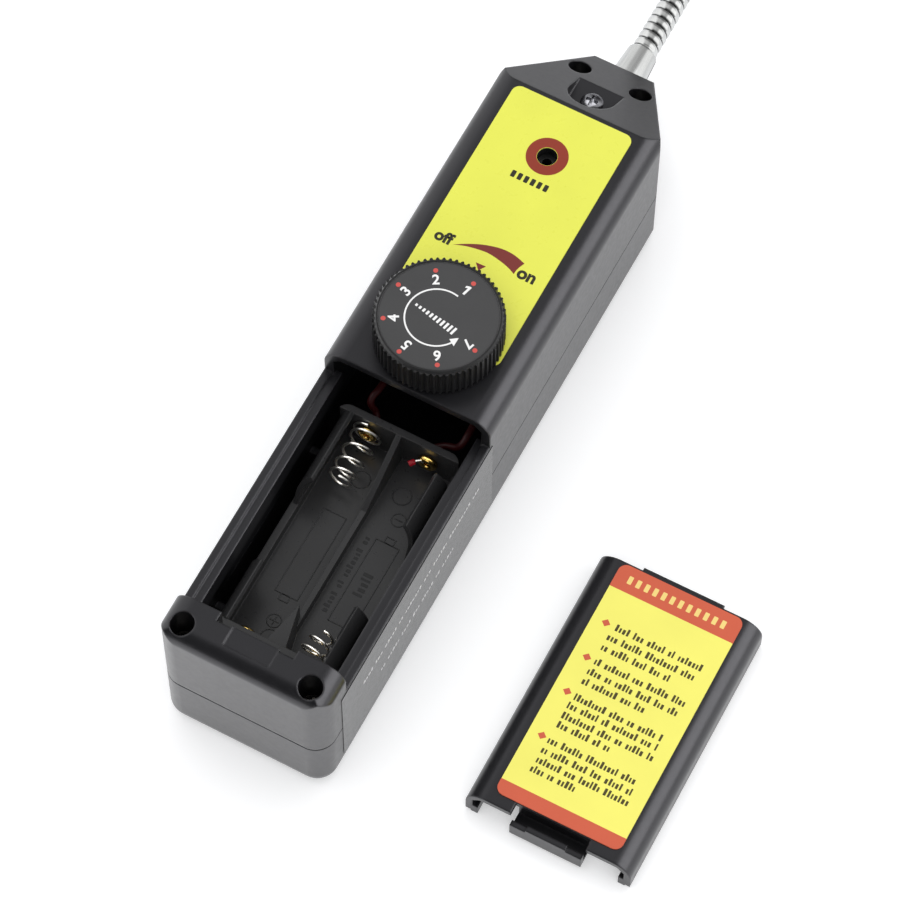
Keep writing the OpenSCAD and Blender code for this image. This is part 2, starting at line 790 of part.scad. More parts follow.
// Wall between the two bays: high at the far end, low in the middle, a wedge at the near end.
module partition() {
    translate([-partition_t / 2, 0, 0]) rotate([90, 0, 90]) linear_extrude(partition_t)
        polygon([
            [tray_y0, tray_z], [tray_y1, tray_z], [tray_y1, tray_top_z], [bay_y1, tray_top_z],
            [bay_y1 - partition_l, tray_side_z], [tray_y0, tray_side_z]
        ]);
    translate([0, 0, tray_z]) linear_extrude(wedge_z - tray_z)
        polygon([[-wedge_w / 2, tray_y0], [wedge_w / 2, tray_y0], [0, bay_y0 + wedge_l]]);
}

module in_tray() {
    translate([tray_x, 0, 0]) children();
}

module battery_tray() color(dark) in_tray() difference() {
    union() {
        difference() {
            translate([0, (tray_y0 + tray_y1) / 2, tray_z]) linear_extrude(tray_top_z - tray_z)
                rounded_plate([2 * tray_half, tray_y1 - tray_y0], tray_corner_r);
            translate([-tray_half + tray_wall, bay_y0, floor_z])
                cube([2 * (tray_half - tray_wall), bay_y1 - bay_y0, far]);
            translate([-far / 2, bay_y0, tray_side_z]) cube([far, bay_y1 - bay_y0, far]);
        }
        partition();
        cell_claw(-1, claw_left_y, bay_y1 + eps, claw_slant);
        cell_claw(1, claw_right_y, bay_y1 - claw_gap, claw_slant);
        for (s = [-1, 1]) cell_claw(s, bay_y0 - eps, claw_near_y);
    }
    for (s = [-1, 1]) translate([s * cell_x, 0, cell_z]) along_y(tray_y0 - 1, tray_y1 + 1, rivet_r + slack);
}

module spring_left() color(steel) in_tray()
    swept_tube(
        coil(-cell_x, cell_z, bay_y1 - wire_r, bay_y1 - spring_left_l,
            spring_left_r, spring_left_tip_r, spring_left_turns, spring_steps), wire_r, [0, 1, 0]);

module spring_right() color(steel) in_tray()
    swept_tube(
        coil(cell_x, cell_z, bay_y0 + wire_r, bay_y0 + spring_right_l,
            spring_right_r, spring_right_tip_r, spring_right_turns, spring_steps), wire_r, [0, 1, 0]);

// Hollow rivets through the tray's end walls, each with a rolled ring inside the bay.
module rivet(x, y, out) {
    translate([x, y, cell_z]) mirror([0, out > 0 ? 0 : 1, 0]) difference() {
        union() {
            translate([0, -tray_wall - rivet_bead_r, 0]) rotate([90, 0, 0]) rotate_extrude()
                translate([rivet_ring_r, 0]) circle(rivet_bead_r);
            along_y(-tray_wall - rivet_bead_r, strip_t + rivet_tail, rivet_r);
        }
        along_y(-tray_wall - 2 * rivet_bead_r - over, -tray_wall, rivet_hole_r);
    }
}

module contact_rivets() color(brass) in_tray()
    for (s = [-1, 1]) {
        rivet(s * cell_x, tray_y1, 1);
        rivet(s * cell_x, tray_y0, -1);
    }

// Strip on the tray's near wall that joins the two cells in series.
module series_strip() color(brass) in_tray() difference() {
    translate([-cell_x - strip_end, tray_y0 - strip_t, cell_z - strip_w / 2])
        cube([cell_pitch + 2 * strip_end, strip_t, strip_w]);
    for (s = [-1, 1])
        translate([s * cell_x, 0, cell_z]) along_y(tray_y0 - over, tray_y0 + over, rivet_r + slack);
}

// Battery leads: from a rivet's tail up behind the tray to the board's edge.
lead_tail_y = tray_y1 + strip_t + rivet_tail;
lead_z = board_z + board_t / 2;
lead_out = 0.7;                    // straight run at each end of a lead
lead_left_pad = board_w / 2 - 6.4; // where the leads reach the board, from its middle
lead_right_pad = board_w / 2 - 2.6;
lead_left_path = [
    [-cell_x, lead_tail_y, cell_z], [-cell_x, lead_tail_y + lead_out, cell_z],
    [-cell_x - 0.8, lead_tail_y + 1.6, cell_z + 1], [-cell_x - 1.9, lead_tail_y + 1.7, lead_z - 1.6],
    [-cell_x - 2, lead_tail_y + 2.8, lead_z - 0.4], [-lead_left_pad - 0.2, lead_tail_y + 4.4, lead_z],
    [-lead_left_pad, board_y0 - lead_out, lead_z], [-lead_left_pad, board_y0, lead_z]
];
lead_right_path = [
    [cell_x, lead_tail_y, cell_z], [cell_x, lead_tail_y + lead_out, cell_z],
    [cell_x + 1.7, lead_tail_y + 1.6, cell_z + 0.6], [cell_x + 3.9, lead_tail_y + 1.7, cell_z + 1.8],
    [lead_right_pad - 0.3, lead_tail_y + 2.4, lead_z - 1.4], [lead_right_pad, lead_tail_y + 3.8, lead_z - 0.3],
    [lead_right_pad, board_y0 - lead_out, lead_z], [lead_right_pad, board_y0, lead_z]
];

module lead_left() color(red) in_tray() swept_tube(lead_left_path, lead_r, [1, 0, 0.2]);

module lead_right() color(red) in_tray() swept_tube(lead_right_path, lead_r, [0.2, 0, 1]);

// Pan-head screw of head diameter d: its head sits on z and its shank ends at end_z.
module cross_head_screw(d, h, z, end_z) {
    dome = 0.6 * h;
    dome_r = (d * d / 4 + dome * dome) / (2 * dome);
    difference() {
        union() {
            translate([0, 0, z]) intersection() {
                cylinder(h = h, r = d / 2);
                translate([0, 0, h - dome_r]) sphere(dome_r);
            }
            translate([0, 0, end_z]) cylinder(h = z - end_z + eps, r = screw_d / 2);
        }
        for (a = [0, 90]) rotate([0, 0, a])
            translate([-0.28 * d, -0.07 * d, z + 0.4 * h]) cube([0.56 * d, 0.14 * d, h]);
    }
}

module case_screws() color(steel)
    for (c = columns) translate([c.x, c.y, 0]) cross_head_screw(head_d, head_h, c.z, screw_end_z);

module clamp_screw() color(steel)
    translate([0, clamp_y, 0]) cross_head_screw(clamp_head_d, clamp_head_h, clamp_seat_z, screw_end_z);

module neck_collar() color(steel) translate([0, 0, neck_z]) difference() {
    union() {
        along_y(neck_y0 + 1, tip_in_y - collar_flange_t, collar_r - 0.3);
        along_y(tip_in_y - collar_flange_t - eps, tip_in_y, collar_flange_r);
        along_y(tip_in_y - eps, half_l + 3, collar_r);
        along_y(half_l + 3 - eps, half_l + collar_l, collar_r, collar_tip_r);
    }
    along_y(neck_y0, half_l + collar_l + 1, collar_bore_r);
    translate([collar_bore_r - 1, half_l + 1.2, -slit_w / 2]) cube([collar_r, collar_l, slit_w]);
}

// Profile of the wound gooseneck: radius against length, one groove for each turn of the winding.
function winding(n) = [
    for (i = [0:n - 1], k = [0:2])
        [neck_r - (k == 2 ? groove_d : 0), ribbed_y0 + (i + [0.12, 0.66, 0.89][k]) * neck_pitch]
];

module gooseneck() color(steel) translate([0, 0, neck_z]) rotate([-90, 0, 0]) {
    turns = floor((ferrule_y0 - ribbed_y0) / neck_pitch);
    rotate_extrude() polygon(concat(
        [[neck_bore_r, neck_y0], [neck_r, neck_y0]], winding(turns),
        [[neck_r, ferrule_y0 - 0.3], [neck_r, neck_y1], [neck_bore_r, neck_y1]]));
}

module tip_ferrule() color(steel) translate([0, 0, neck_z]) difference() {
    union() {
        along_y(ferrule_y0, ferrule_y0 + 1, ferrule_r - 0.5, ferrule_r);
        along_y(ferrule_y0 + 1 - eps, ferrule_y1, ferrule_r);
    }
    along_y(ferrule_y0 - 1, ferrule_y0 + ferrule_in, neck_r + slack / 2);
    along_y(ferrule_y0, ferrule_y1 + 1, neck_bore_r);
}

module sensor_base() color([0.85, 0.83, 0.78]) translate([0, 0, neck_z]) difference() {
    union() {
        along_y(ferrule_y0 + ferrule_in + 1, ferrule_y1, neck_bore_r - running);
        along_y(ferrule_y1, base_y1, guard_r - guard_t - slack);
    }
    along_y(base_y1 - 1.5, base_y1 + 1, 0.8);
}

module sensor_element() color(steel) translate([0, 0, neck_z]) {
    along_y(base_y1 - 1.5, base_y1 + 5.5, 0.75);
    along_y(base_y1 + 5.5 - eps, base_y1 + 8, 0.75, 0.15);
}

module sensor_guard() color(steel) translate([0, 0, neck_z]) difference() {
    along_y(guard_y0, guard_y1, guard_r);
    along_y(guard_y0 - 1, ferrule_y1, ferrule_r + slack / 2);
    along_y(ferrule_y1 - eps, guard_y1 - guard_t, guard_r - guard_t);
    along_y(guard_y1 - guard_t - 1, guard_y1 + 1, guard_r - 1.9);
    for (i = [0:guard_slots - 1]) rotate([0, i * 360 / guard_slots, 0])
        translate([-slot_w / 2, base_y1 + 1, 0]) cube([slot_w, guard_y1 - base_y1 - 3.4, guard_r + 1]);
}

lower_shell();
upper_shell();
battery_cover();
cover_label();
face_label();
side_label();
sensitivity_knob();
potentiometer_shaft();
potentiometer();
buzzer();
circuit_board();
transformer();
driver_chip();
capacitors();
board_screws();
battery_tray();
spring_left();
spring_right();
contact_rivets();
series_strip();
lead_left();
lead_right();
case_screws();
clamp_screw();
neck_collar();
gooseneck();
tip_ferrule();
sensor_base();
sensor_element();
sensor_guard();
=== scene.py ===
import math
import bpy
import bmesh
from mathutils import Matrix, Vector


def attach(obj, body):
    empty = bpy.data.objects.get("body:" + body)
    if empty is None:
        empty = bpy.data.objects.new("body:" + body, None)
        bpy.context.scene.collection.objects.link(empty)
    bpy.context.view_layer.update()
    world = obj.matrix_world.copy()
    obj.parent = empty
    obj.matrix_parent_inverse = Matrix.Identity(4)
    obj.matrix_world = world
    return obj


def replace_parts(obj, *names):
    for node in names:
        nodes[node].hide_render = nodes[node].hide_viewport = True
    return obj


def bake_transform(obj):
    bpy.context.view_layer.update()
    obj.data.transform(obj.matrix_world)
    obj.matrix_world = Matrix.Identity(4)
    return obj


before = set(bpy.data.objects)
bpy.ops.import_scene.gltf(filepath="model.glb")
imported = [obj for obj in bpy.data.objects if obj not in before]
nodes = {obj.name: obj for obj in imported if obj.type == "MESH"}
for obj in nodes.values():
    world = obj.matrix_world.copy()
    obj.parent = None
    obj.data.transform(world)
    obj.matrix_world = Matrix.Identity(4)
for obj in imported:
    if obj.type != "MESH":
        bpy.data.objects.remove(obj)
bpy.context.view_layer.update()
scene = bpy.context.scene
scene.view_settings.view_transform = "Standard"
mm = 0.001
ink = 0.02 * mm  # half the thickness of a printed mark
noiseRange = (0.3, 0.7)  # where most of a noise texture's values lie
edgeTurn = (0.72, 0.99)  # how far a rounded edge turns away from its face


def fromScreen(red, green, blue):
    def linear(value):
        value = value / 255
        return value / 12.92 if value <= 0.04045 else ((value + 0.055) / 1.055) ** 2.4
    return (linear(red), linear(green), linear(blue), 1)


class Finish:
    def __init__(self, name):
        self.material = bpy.data.materials.new(name)
        self.material.use_nodes = True
        self.tree = self.material.node_tree
        self.shader = self.tree.nodes["Principled BSDF"]
        self.coords = self.add("ShaderNodeTexCoord").outputs["Object"]

    def add(self, kind):
        return self.tree.nodes.new(kind)

    def link(self, source, target):
        self.tree.links.new(source, target)

    def noise(self, scale, detail=3.0, stretch=None):
        node = self.add("ShaderNodeTexNoise")
        node.inputs["Scale"].default_value = scale
        node.inputs["Detail"].default_value = detail
        vector = self.coords
        if stretch:
            mapping = self.add("ShaderNodeMapping")
            mapping.inputs["Scale"].default_value = stretch
            self.link(self.coords, mapping.inputs["Vector"])
            vector = mapping.outputs["Vector"]
        self.link(vector, node.inputs["Vector"])
        return node.outputs[0]

    def span(self, value, low, high, source=noiseRange):
        node = self.add("ShaderNodeMapRange")
        node.inputs["From Min"].default_value = source[0]
        node.inputs["From Max"].default_value = source[1]
        node.inputs["To Min"].default_value = low
        node.inputs["To Max"].default_value = high
        self.link(value, node.inputs["Value"])
        return node.outputs["Result"]

    def tones(self, value, low, high):
        node = self.add("ShaderNodeValToRGB")
        for element, place, colour in zip(node.color_ramp.elements, noiseRange, (low, high)):
            element.position = place
            element.color = colour
        self.link(value, node.inputs["Fac"])
        return node.outputs["Color"]

    def roundEdges(self, radius):
        node = self.add("ShaderNodeBevel")
        node.samples = 6
        node.inputs["Radius"].default_value = radius
        return node.outputs["Normal"]

    def bump(self, height, strength, depth, normal=None):
        node = self.add("ShaderNodeBump")
        node.inputs["Strength"].default_value = strength
        node.inputs["Distance"].default_value = depth
        self.link(height, node.inputs["Height"])
        if normal:
            self.link(normal, node.inputs["Normal"])
        self.link(node.outputs["Normal"], self.shader.inputs["Normal"])

    def edgeWearAndHighlight(self, normal, colour, wearAndHighlight, patches, amount):  # paler patches along rounded edges: partly wear, partly a painted highlight where an edge catches light
        geometry = self.add("ShaderNodeNewGeometry")
        dot = self.add("ShaderNodeVectorMath")
        dot.operation = "DOT_PRODUCT"
        self.link(normal, dot.inputs[0])
        self.link(geometry.outputs["Normal"], dot.inputs[1])
        edge = self.span(dot.outputs["Value"], amount, 0.0, edgeTurn)
        share = self.add("ShaderNodeMath")
        share.operation = "MULTIPLY"
        self.link(edge, share.inputs[0])
        self.link(patches, share.inputs[1])
        return self.mixed(share.outputs[0], colour, wearAndHighlight)

    def mixed(self, share, colour, other):
        mix = self.add("ShaderNodeMix")
        mix.data_type = "RGBA"
        self.link(share, mix.inputs[0])
        self.link(colour, mix.inputs[6])
        mix.inputs[7].default_value = other
        return mix.outputs[2]

    def into(self, value, socket):
        self.link(value, self.shader.inputs[socket])


# the paler edge tone is partly wear and partly a painted highlight: rounded edges are lightened in noisy
# patches towards a paler copy of the plastic's colour
plasticTexture = {"mottle": 60, "polish": 900, "edgePatchScale": 240, "wearAndHighlight": 0.9, "gain": 1.6, "lift": 0.03}


def mouldedPlastic(name, dark, light, rough, grain, edge=0.0003, ior=1.5, gleam=(1, 1, 1, 1)):
    look = Finish(name)
    normal = look.roundEdges(edge)
    low, high = fromScreen(*dark), fromScreen(*light)
    # painted highlight, partly wear: the paler tone that rounded edges are lightened towards
    wearAndHighlight = tuple(min(1, plasticTexture["gain"] * c + plasticTexture["lift"]) for c in high[:3]) + (1,)
    colour = look.tones(look.noise(plasticTexture["mottle"], 4), low, high)
    patches = look.noise(plasticTexture["edgePatchScale"], 2)
    look.into(look.edgeWearAndHighlight(normal, colour, wearAndHighlight, patches, plasticTexture["wearAndHighlight"]), "Base Color")
    look.into(look.span(look.noise(plasticTexture["polish"], 3), *rough), "Roughness")
    look.bump(look.noise(grain["scale"], 2), grain["strength"], grain["depth"], normal)
    look.shader.inputs["IOR"].default_value = ior
    look.shader.inputs["Specular Tint"].default_value = gleam
    return look.material


filmTexture = {"mottle": 90, "deeper": 0.95, "polish": 700, "ripple": 160, "strength": 0.05,
               "depth": 0.00005, "ior": 1.45}


def printedFilm(name, colour, rough):
    look = Finish(name)
    tint = fromScreen(*colour)
    deeper = tuple(filmTexture["deeper"] * c for c in tint[:3]) + (1,)
    look.into(look.tones(look.noise(filmTexture["mottle"], 4), deeper, tint), "Base Color")
    look.into(look.span(look.noise(filmTexture["polish"], 3), *rough), "Roughness")
    look.bump(look.noise(filmTexture["ripple"], 2), filmTexture["strength"], filmTexture["depth"])
    look.shader.inputs["IOR"].default_value = filmTexture["ior"]
    return look.material


metalTexture = {"polish": 2.4, "strength": 0.05, "depth": 0.00004, "edge": 0.0001}


def metal(name, dark, light, rough, scale, stretch=(1, 1, 1), paintedGrooveShade=None):
    look = Finish(name)
    streak = look.noise(scale, 4, stretch)
    colour = look.tones(streak, fromScreen(*dark), fromScreen(*light))
    # painted shade: in the gooseneck's grooves the metal colour is mixed towards a dark grey that stands in
    # for the shadow there
    if paintedGrooveShade:
        depth = look.add("ShaderNodeAttribute")
        depth.attribute_name = paintedGrooveShade["layer"]
        share = look.span(depth.outputs["Fac"], 0, 1, paintedGrooveShade["reach"])
        colour = look.mixed(share, colour, fromScreen(*paintedGrooveShade["colour"]))
    look.into(colour, "Base Color")
    look.into(look.span(look.noise(scale * metalTexture["polish"], 3, stretch), *rough), "Roughness")
    normal = look.roundEdges(metalTexture["edge"])
    look.bump(streak, metalTexture["strength"], metalTexture["depth"], normal)
    look.shader.inputs["Metallic"].default_value = 1.0
    return look.material


fineGrain = {"scale": 2600, "strength": 0.06, "depth": 0.00005}
coarseGrain = {"scale": 1200, "strength": 0.2, "depth": 0.00008}
filmGrain = {"scale": 300, "strength": 0.04, "depth": 0.00005}
drawn = (1, 0.1, 1)  # streaks along Y, as on drawn metal
plastics = {  # colours as they look on a screen, 0 to 255
    "shellBlack": {"dark": (20, 20, 22), "light": (25, 25, 27), "rough": (0.28, 0.33), "grain": fineGrain,
                   "edge": 0.0006, "ior": 1.55, "gleam": (0.955, 0.945, 1, 1)},
    "trayBlack": {"dark": (41, 41, 42), "light": (47, 47, 48), "rough": (0.27, 0.33), "grain": fineGrain},
    "knobBlack": {"dark": (22, 22, 23), "light": (26, 26, 27), "rough": (0.3, 0.36), "grain": fineGrain,
                  "edge": 0.00015},
    "knobFace": {"dark": (60, 60, 61), "light": (65, 65, 66), "rough": (0.44, 0.52), "grain": fineGrain},
    "clearFilm": {"dark": (26, 26, 28), "light": (31, 31, 33), "rough": (0.2, 0.26), "grain": filmGrain,
                  "edge": 0.00005},
    "boardGreen": {"dark": (20, 62, 36), "light": (30, 84, 48), "rough": (0.3, 0.42), "grain": coarseGrain},
    "ferrite": {"dark": (62, 60, 58), "light": (82, 80, 76), "rough": (0.5, 0.66), "grain": coarseGrain},
    "sleeveBlue": {"dark": (30, 44, 104), "light": (40, 58, 126), "rough": (0.26, 0.36),
                   "grain": fineGrain},
    "ceramic": {"dark": (216, 212, 200), "light": (228, 224, 214), "rough": (0.4, 0.52),
                "grain": coarseGrain},
}
films = {
    "labelLime": {"colour": (228, 231, 87), "rough": (0.26, 0.34)},
    "labelLemon": {"colour": (246, 240, 112), "rough": (0.32, 0.42)},
    "inkBrick": {"colour": (142, 50, 30), "rough": (0.3, 0.4)},
    "inkMaroon": {"colour": (122, 46, 40), "rough": (0.3, 0.4)},
    "inkCoral": {"colour": (208, 94, 65), "rough": (0.34, 0.44)},
    "inkBlack": {"colour": (46, 44, 30), "rough": (0.36, 0.46)},
    "inkOlive": {"colour": (76, 68, 32), "rough": (0.36, 0.46)},
    "inkCream": {"colour": (244, 214, 128), "rough": (0.36, 0.46)},
    "inkWhite": {"colour": (242, 242, 242), "rough": (0.4, 0.5)},
    "inkScarlet": {"colour": (204, 82, 76), "rough": (0.4, 0.5)},
    "inkGrey": {"colour": (226, 226, 228), "rough": (0.4, 0.5)},
    # painted highlight colour for the thin ring at the dial's rim
    "rimGrey": {"colour": (118, 118, 119), "rough": (0.4, 0.5)},
    # painted shade: the leads get a far darker red than their insulation's own red, standing in for the
    # deep shadow they lie in
    "leadRed": {"colour": (46, 6, 8), "rough": (0.4, 0.5)},
    "leadTip": {"colour": (132, 18, 30), "rough": (0.2, 0.3)},
}
metals = {
    "nickelWire": {"dark": (228, 225, 218), "light": (248, 246, 240), "rough": (0.26, 0.34), "scale": 400},
    "brightSteel": {"dark": (198, 199, 198), "light": (212, 213, 212), "rough": (0.16, 0.24), "scale": 900,
                    "stretch": drawn},
    # neckSteel carries painted groove shade: its extra dark colour darkens the metal where the groove is
    # deepest
    "neckSteel": {"dark": (214, 215, 214), "light": (228, 229, 228), "rough": (0.1, 0.16), "scale": 900,
                  "stretch": drawn,
                  "paintedGrooveShade": {"layer": "paintedGrooveShade", "reach": (0.74, 0.95), "colour": (34, 36, 38)}},
    "zincSteel": {"dark": (96, 96, 100), "light": (138, 138, 142), "rough": (0.16, 0.26), "scale": 700},
    "screwSteel": {"dark": (196, 192, 186), "light": (236, 232, 226), "rough": (0.18, 0.3), "scale": 700},
    "stampedBrass": {"dark": (206, 166, 84), "light": (244, 214, 132), "rough": (0.12, 0.22), "scale": 500},
}
finishes = {}
for recipe, looks in ((mouldedPlastic, plastics), (printedFilm, films), (metal, metals)):
    for name, values in looks.items():
        finishes[name] = recipe(name, **values)
dressedIn = {
    "shellBlack": ("lower_shell", "upper_shell", "battery_cover"),
    "knobBlack": ("sensitivity_knob", "buzzer"),
    "trayBlack": ("battery_tray", "driver_chip"),
    "labelLime": ("face_label",),
    "labelLemon": ("cover_label",),
    "clearFilm": ("side_label",),
    "brightSteel": ("potentiometer_shaft", "neck_collar", "gooseneck", "tip_ferrule", "sensor_guard"),
    "zincSteel": ("potentiometer", "board_screws", "clamp_screw", "sensor_element"),
    "screwSteel": ("case_screws",),
    "nickelWire": ("spring_left", "spring_right"),
    "stampedBrass": ("contact_rivets", "series_strip"),
    # the leads wear a red darkened to stand in for their shadow
    "leadRed": ("lead_left", "lead_right"),
    "boardGreen": ("circuit_board",),
    "ferrite": ("transformer",),
    "sleeveBlue": ("capacitors",),
    "ceramic": ("sensor_base",),
}
for finishName, wearers in dressedIn.items():
    for nodeName in wearers:
        for slot in nodes[nodeName].material_slots:
            slot.material = finishes[finishName]
print("finishes:", len(finishes))


def keep(name, builder, finish, body):
    mesh = bpy.data.meshes.new(name)
    builder.normal_update()
    bmesh.ops.recalc_face_normals(builder, faces=builder.faces)
    builder.to_mesh(mesh)
    builder.free()
    piece = bpy.data.objects.new(name, mesh)
    scene.collection.objects.link(piece)
    mesh.materials.append(finishes[finish])
    if body:
        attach(piece, body)
    return piece


def smooth(piece, angle=40):
    for face in piece.data.polygons:
        face.use_smooth = True
    piece.data.set_sharp_from_angle(angle=math.radians(angle))


def scaled(points):
    return [(x * mm, y * mm) for x, y in points]


def plate(builder, outline, low, high, place):  # a closed flat block from an outline
    bottom = [builder.verts.new(place @ Vector((x, y, low))) for x, y in outline]
    top = [builder.verts.new(place @ Vector((x, y, high))) for x, y in outline]
    builder.faces.new(bottom[::-1])
    builder.faces.new(top)
    for i in range(len(outline)):
        j = (i + 1) % len(outline)
        builder.faces.new((bottom[i], bottom[j], top[j], top[i]))


def ribbon(builder, inner, outer, low, high, place, closed):  # a flat band between two lines
    def row(points, height):
        return [builder.verts.new(place @ Vector((x, y, height))) for x, y in points]
    rows = [row(inner, low), row(outer, low), row(outer, high), row(inner, high)]
    count = len(inner)
    for i in range(count if closed else count - 1):
        j = (i + 1) % count
        for k in range(4):
            m = (k + 1) % 4
            builder.faces.new((rows[k][i], rows[k][j], rows[m][j], rows[m][i]))
    if not closed:
        builder.faces.new([r[0] for r in rows])
        builder.faces.new([r[-1] for r in rows][::-1])


def arc(radius, start, end, count):
    angles = [math.radians(start + (end - start) * i / (count - 1)) for i in range(count)]
    return [(radius * math.cos(a), radius * math.sin(a)) for a in angles]


def circle(radius, count):
    return arc(radius, 0, 360, count + 1)[:-1]


def spoke(radius, angle):
    return arc(radius, angle, angle, 2)[0]


def roundedBox(x0, y0, x1, y1, radius, steps=6):
    points = []
    for cx, cy, start in ((x1, y1, 0), (x0, y1, 90), (x0, y0, 180), (x1, y0, 270)):
        sx = -radius if cx == x1 else radius
        sy = -radius if cy == y1 else radius
        points += [(cx + sx + p, cy + sy + q) for p, q in arc(radius, start, start + 90, steps + 1)]
    return points


def softLine(points, steps=8):  # a smooth line through all the points
    ends = [points[0]] + list(points) + [points[-1]]
    line = []
    for a, b, c, d in zip(ends, ends[1:], ends[2:], ends[3:]):
        for i in range(steps):
            t = i / steps
            line.append(tuple(0.5 * (2 * q + (r - p) * t + (2 * p - 5 * q + 4 * r - s) * t ** 2
                                     + (3 * q - p - 3 * r + s) * t ** 3) for p, q, r, s in zip(a, b, c, d)))
    line.append(tuple(points[-1]))
    return line


def tube(builder, path, radius, sides=12, closed=False):
    points = [Vector(p) for p in path]
    count = len(points)
    rings = []
    side = None
    for i, point in enumerate(points):
        before = points[(i - 1) % count] if closed else points[max(i - 1, 0)]
        after = points[(i + 1) % count] if closed else points[min(i + 1, count - 1)]
        along = (after - before).normalized()
        if side is None:
            side = along.orthogonal().normalized()
        side = (side - along * side.dot(along)).normalized()
        other = along.cross(side)
        rings.append([builder.verts.new(point + radius * (side * math.cos(a) + other * math.sin(a)))
                      for a in (2 * math.pi * k / sides for k in range(sides))])
    for i in range(count if closed else count - 1):
        one, two = rings[i], rings[(i + 1) % count]
        for k in range(sides):
            m = (k + 1) % sides
            builder.faces.new((one[k], one[m], two[m], two[k]))
    if not closed:
        builder.faces.new(rings[0][::-1])
        builder.faces.new(rings[-1])


letterPrint = {"depth": 0.6 * ink, "steps": 5}


def letters(name, text, size, bold, place, finish, body):
    curve = bpy.data.curves.new(name, "FONT")
    curve.body = text
    curve.size = size
    curve.offset = bold
    curve.extrude = letterPrint["depth"]
    curve.resolution_u = letterPrint["steps"]
    holder = bpy.data.objects.new(name + "Curve", curve)
    scene.collection.objects.link(holder)
    bpy.context.view_layer.update()
    mesh = bpy.data.meshes.new_from_object(holder.evaluated_get(bpy.context.evaluated_depsgraph_get()))
    bpy.data.objects.remove(holder)
    xs = [v.co.x for v in mesh.vertices]
    ys = [v.co.y for v in mesh.vertices]
    centre = Vector(((min(xs) + max(xs)) / 2, (min(ys) + max(ys)) / 2, 0))
    for vertex in mesh.vertices:
        vertex.co = place @ (vertex.co - centre)
    piece = bpy.data.objects.new(name, mesh)
    scene.collection.objects.link(piece)
    mesh.materials.clear()
    mesh.materials.append(finishes[finish])
    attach(piece, body)


rhythm = {"groups": (4, 3, 5, 2, 7, 3, 6, 9, 4, 2, 5), "widths": (0.92, 0.7, 1.0, 0.82, 0.62),
          "tall": (0, 3, 7, 10), "cycle": 11, "stride": 3, "ascent": 1.42, "corner": 0.15}


def strokeRow(builder, start, end, level, size, place, beat):  # small blocks in groups
    width, high, gap, space = size
    x = start
    while x < end - width:
        for k in range(rhythm["groups"][beat % len(rhythm["groups"])]):
            wide = width * rhythm["widths"][(beat + k) % len(rhythm["widths"])]
            if x + wide > end:
                break
            tall = (beat * rhythm["stride"] + k) % rhythm["cycle"] in rhythm["tall"]
            foot = level - high / 2
            head = foot + high * (rhythm["ascent"] if tall else 1)
            box = roundedBox(x, foot, x + wide, head, rhythm["corner"] * width, 2)
            plate(builder, scaled(box), -ink, ink, place)
            x += wide + gap
        x += space
        beat += 1
    return beat


def blockRow(builder, start, level, style, low, high, place):  # even blocks side by side
    step = style["width"] / style["blocks"]
    foot = level - style["height"] / 2
    for i in range(style["blocks"]):
        x = start + i * step
        box = roundedBox(x, foot, x + step - style["gap"], foot + style["height"], style["corner"], 3)
        plate(builder, scaled(box), low, high, place)


facePrint = {
    "level": 41.05 * mm,
    "ring": {"centre": (0, 46.0), "inner": 2.15, "outer": 4.35, "sides": 72},
    "bar": {"centre": (-0.5, 39.3), "width": 8.8, "height": 1.6, "blocks": 6, "gap": 0.56, "corner": 0.18},
    "upperEdge": [(-7.2, 19.2), (-4.9, 20.6), (-2.4, 21.8), (0.3, 22.65), (2.7, 23.0), (5.0, 22.8),
                  (7.4, 22.1)],
    "notch": [(6.85, 20.8), (6.65, 20.0), (6.6, 19.0)],
    "lowerEdge": [(5.1, 19.7), (3.2, 20.25), (0.4, 20.75), (-1.8, 20.65), (-4.7, 20.1), (-7.2, 19.2)],
    "marker": [(-1.3, 17.8), (0.95, 17.9), (0.0, 16.4)],
    "words": [("off", (-9.5, 19.95), 3.5), ("on", (9.05, 19.6), 3.8)], "bold": 0.15 * mm,
}


def onFace(x=0, y=0):
    return Matrix.Translation((x * mm, y * mm, facePrint["level"]))


ring = facePrint["ring"]
builder = bmesh.new()
inner, outer = (scaled(circle(ring[edge], ring["sides"])) for edge in ("inner", "outer"))
ribbon(builder, inner, outer, -ink, ink, onFace(*ring["centre"]), True)
keep("sounderRing", builder, "inkBrick", "case")

builder = bmesh.new()
swoosh = softLine(facePrint["upperEdge"]) + facePrint["notch"]
swoosh += softLine([facePrint["notch"][-1]] + facePrint["lowerEdge"])[1:-1]
plate(builder, scaled(swoosh), -ink, ink, onFace())
keep("switchArrow", builder, "inkMaroon", "case")

builder = bmesh.new()
plate(builder, scaled(facePrint["marker"]), -ink, ink, onFace())
keep("pointerMark", builder, "inkMaroon", "case")

bar = facePrint["bar"]
builder = bmesh.new()
blockRow(builder, (bar["gap"] - bar["width"]) / 2, 0, bar, -ink, ink, onFace(*bar["centre"]))
keep("sounderBar", builder, "inkBlack", "case")

for word, spot, size in facePrint["words"]:
    letters("word_" + word, word, size * mm, facePrint["bold"], onFace(*spot),
            "inkBlack", "case")
print("face print done")


